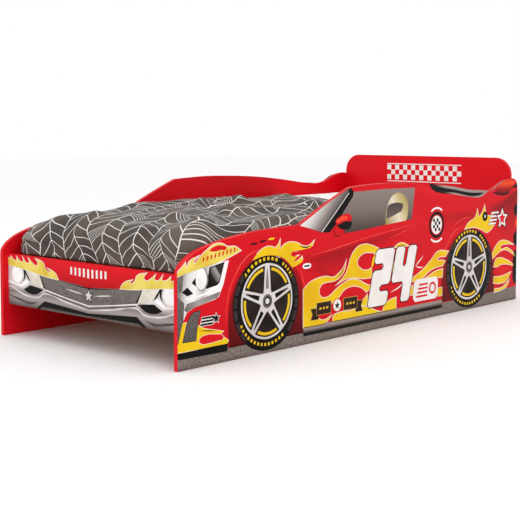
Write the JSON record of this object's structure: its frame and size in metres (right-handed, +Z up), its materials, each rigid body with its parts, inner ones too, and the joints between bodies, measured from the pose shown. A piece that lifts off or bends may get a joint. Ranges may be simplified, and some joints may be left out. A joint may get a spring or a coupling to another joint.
{
  "type": "toddler bed",
  "caption": "Toddler bed with side panels cut to the outline of a racing car, a plain bumper board at the foot, a headboard, a slatted base, a mattress, a fitted sheet and a duvet.",
  "frame": {"origin": "on the floor, below the middle of the bed", "axes": "+Z up; -Y towards the nose of the car at the foot end, +Y towards the headboard; +X towards the side panel that the picture shows"},
  "size_m": [0.74, 1.612, 0.49],
  "materials": {
    "painted_board": "satin",
    "pine": "matte",
    "beech": "matte",
    "black_plastic": "matte",
    "red_plastic": "satin",
    "zinc_plated_steel": "satin",
    "die_cast_zinc": "matte",
    "mattress_cover": "matte",
    "cotton_sheet": "matte",
    "printed_duvet": "satin"
  },
  "bodies": {
    "bed_frame": {"side_panel_right": "painted_board", "side_panel_left": "painted_board", "headboard": "painted_board", "bumper_panel": "painted_board", "side_rail_right": "pine", "side_rail_left": "pine", "head_rail": "pine", "foot_rail": "pine", "centre_beam": "pine", "centre_leg": "pine", "leg_glide": "black_plastic", "slat_01": "pine", "slat_02": "pine", "slat_03": "pine", "slat_04": "pine", "slat_05": "pine", "slat_06": "pine", "slat_07": "pine", "slat_08": "pine", "slat_09": "pine", "slat_10": "pine", "slat_11": "pine", "slat_12": "pine", "slat_13": "pine", "angle_brackets": "zinc_plated_steel", "cam_bolts": "zinc_plated_steel", "cam_locks": "die_cast_zinc", "cam_caps": "red_plastic", "wooden_dowels": "beech", "rail_screws": "zinc_plated_steel", "slat_screws": "zinc_plated_steel", "bracket_screws": "zinc_plated_steel", "leg_screws": "zinc_plated_steel"},
    "mattress": {"mattress": "mattress_cover", "fitted_sheet": "cotton_sheet"},
    "duvet": {"duvet": "printed_duvet"}
  },
  "joints": [
    {"name": "mattress_lift", "type": "slide", "parent": "bed_frame", "child": "mattress", "axis": [0, 0, 1], "range_m": [0, 0.3]},
    {"name": "duvet_lift", "type": "slide", "parent": "mattress", "child": "duvet", "axis": [0, 0, 1], "range_m": [0, 0.25]}
  ]
}
